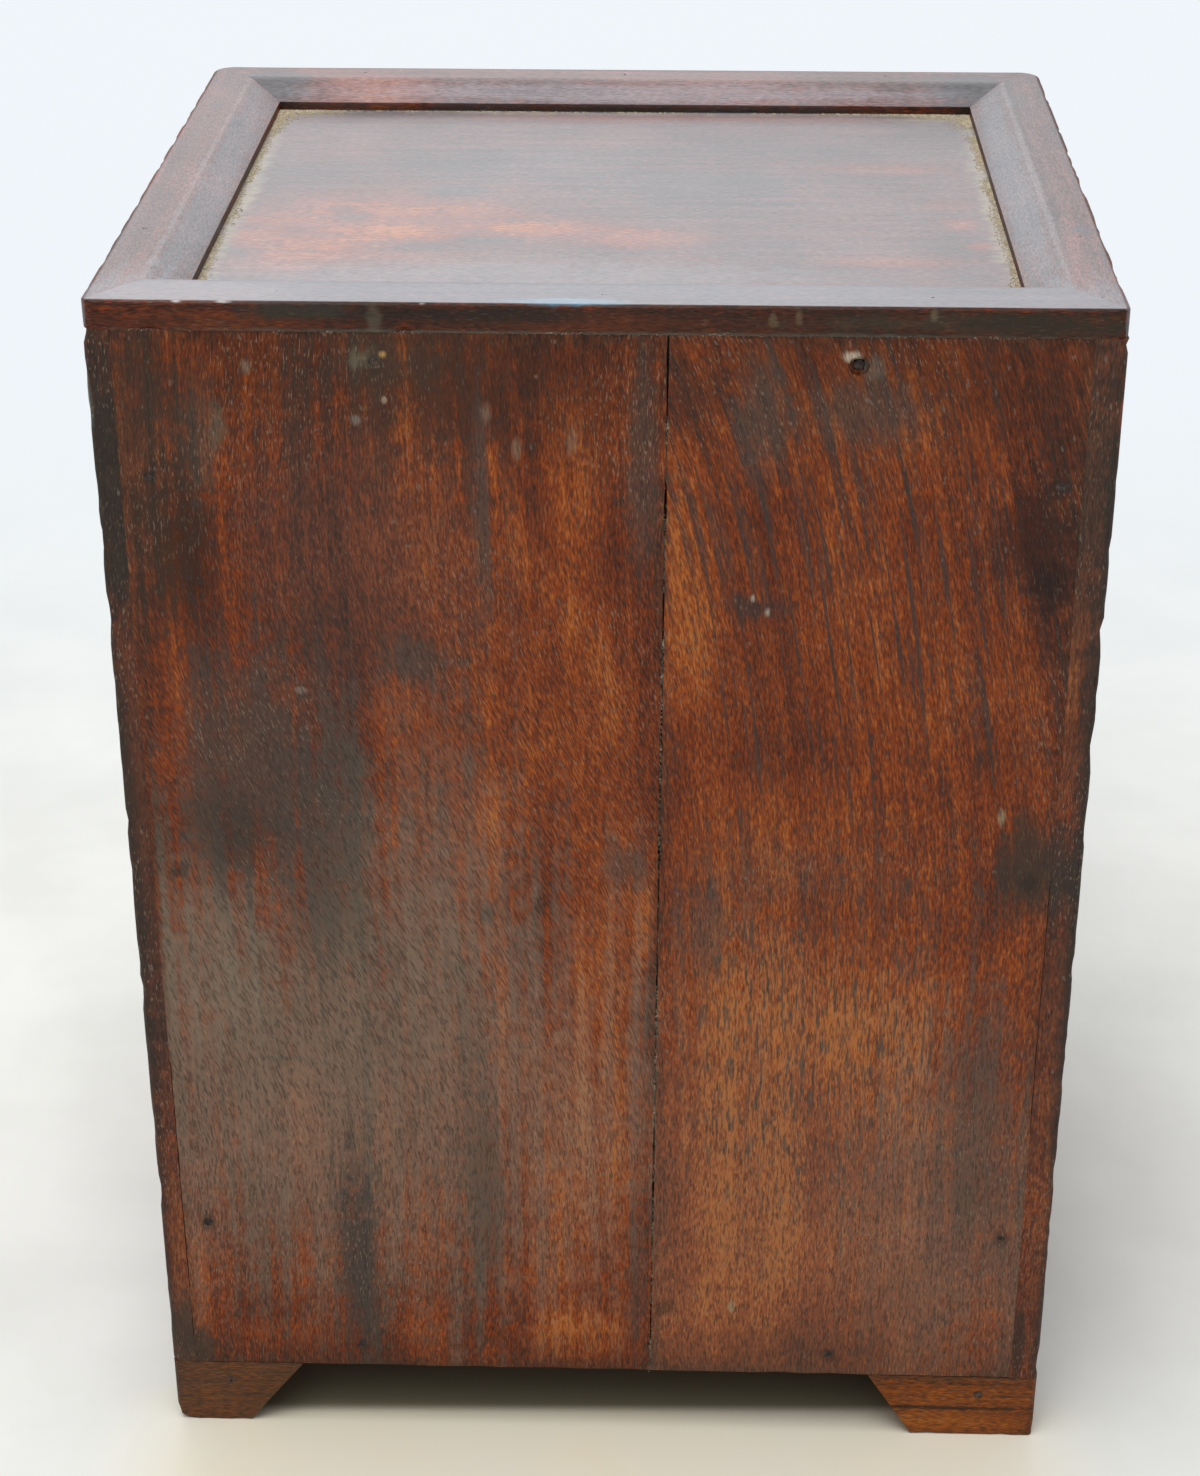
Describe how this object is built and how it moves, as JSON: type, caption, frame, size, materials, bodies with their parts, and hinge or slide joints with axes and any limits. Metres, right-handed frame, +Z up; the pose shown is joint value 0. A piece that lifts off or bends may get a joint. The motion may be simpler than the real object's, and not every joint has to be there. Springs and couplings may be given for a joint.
{
  "type": "drawer box",
  "caption": "Small upright tabletop chest of nailed reddish-brown boards, with a moulded tray top, bracket feet and stacked wooden drawers that slide out on turned brass knobs.",
  "frame": {"origin": "on the floor under the feet, in the middle of the box around the case and its knobs", "axes": "+Z up, -Y towards the drawers' front, +Y out of the boarded back, +X to the right seen from the front"},
  "size_m": [0.204, 0.195, 0.28],
  "materials": {
    "rosewood": "old satin polish, worn and stained",
    "drawer_lining": "bare planed wood, darkened by age",
    "brass": "turned and handled, tarnished in the waist",
    "iron": "dark, rusted"
  },
  "bodies": {
    "case": {"back_board_left": "rosewood", "back_board_right": "rosewood", "back_nails": "iron", "bottom_board": "rosewood", "divider_1": "rosewood", "divider_2": "rosewood", "foot_bracket_back_left": "rosewood", "foot_bracket_back_right": "rosewood", "foot_bracket_front_left": "rosewood", "foot_bracket_front_right": "rosewood", "foot_nails": "iron", "foot_return_back_left": "rosewood", "foot_return_back_right": "rosewood", "foot_return_front_left": "rosewood", "foot_return_front_right": "rosewood", "rail_pins": "iron", "side_nails": "iron", "side_panel_left": "rosewood", "side_panel_right": "rosewood", "top_board": "rosewood", "top_rail_back": "rosewood", "top_rail_front": "rosewood", "top_rail_left": "rosewood", "top_rail_right": "rosewood"},
    "drawer_lower": {"drawer_lower_back": "drawer_lining", "drawer_lower_bottom": "drawer_lining", "drawer_lower_front": "rosewood", "drawer_lower_knob": "brass", "drawer_lower_knob_nut": "brass", "drawer_lower_pins": "iron", "drawer_lower_side_left": "drawer_lining", "drawer_lower_side_right": "drawer_lining"},
    "drawer_middle": {"drawer_middle_back": "drawer_lining", "drawer_middle_bottom": "drawer_lining", "drawer_middle_front": "rosewood", "drawer_middle_knob": "brass", "drawer_middle_knob_nut": "brass", "drawer_middle_pins": "iron", "drawer_middle_side_left": "drawer_lining", "drawer_middle_side_right": "drawer_lining"},
    "drawer_upper": {"drawer_upper_back": "drawer_lining", "drawer_upper_bottom": "drawer_lining", "drawer_upper_front": "rosewood", "drawer_upper_knob": "brass", "drawer_upper_knob_nut": "brass", "drawer_upper_pins": "iron", "drawer_upper_side_left": "drawer_lining", "drawer_upper_side_right": "drawer_lining"}
  },
  "joints": [
    {"name": "lower_drawer_slide", "type": "slide", "parent": "case", "child": "drawer_lower", "axis": [0, -1, 0], "range_m": [0, 0.12]},
    {"name": "middle_drawer_slide", "type": "slide", "parent": "case", "child": "drawer_middle", "axis": [0, -1, 0], "range_m": [0, 0.12]},
    {"name": "upper_drawer_slide", "type": "slide", "parent": "case", "child": "drawer_upper", "axis": [0, -1, 0], "range_m": [0, 0.12]}
  ]
}
